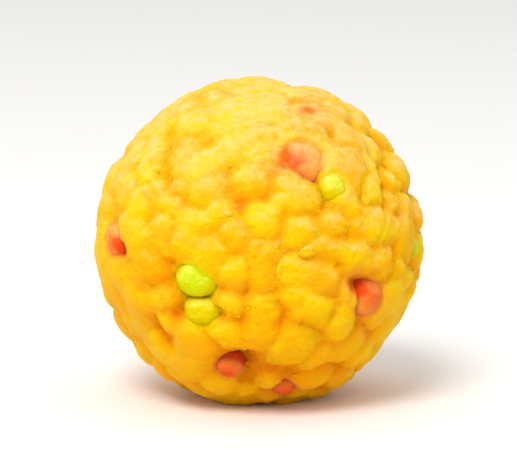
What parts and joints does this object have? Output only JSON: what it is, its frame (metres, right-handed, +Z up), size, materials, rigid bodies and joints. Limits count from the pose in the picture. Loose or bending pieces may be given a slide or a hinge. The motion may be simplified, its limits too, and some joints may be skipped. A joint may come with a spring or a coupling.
{
  "type": "boondi ladoo",
  "caption": "Round hand-rolled sweet: fried gram-flour pearls bound with sugar syrup and pressed by hand into a ball, with a scatter of red and green pearls and a small flat spot to rest on.",
  "frame": {"origin": "middle of the ball's footprint, on the surface that it rests on", "axes": "+Z up, the ball's shortest way because it is settled on its flat spot; -Y the side shown to the front; +X to the right seen from the front"},
  "size_m": [0.0501, 0.0507, 0.0487],
  "materials": {
    "boondi": "soft sheen of syrup and ghee"
  },
  "bodies": {
    "root": {"ladoo": "boondi"}
  },
  "joints": []
}
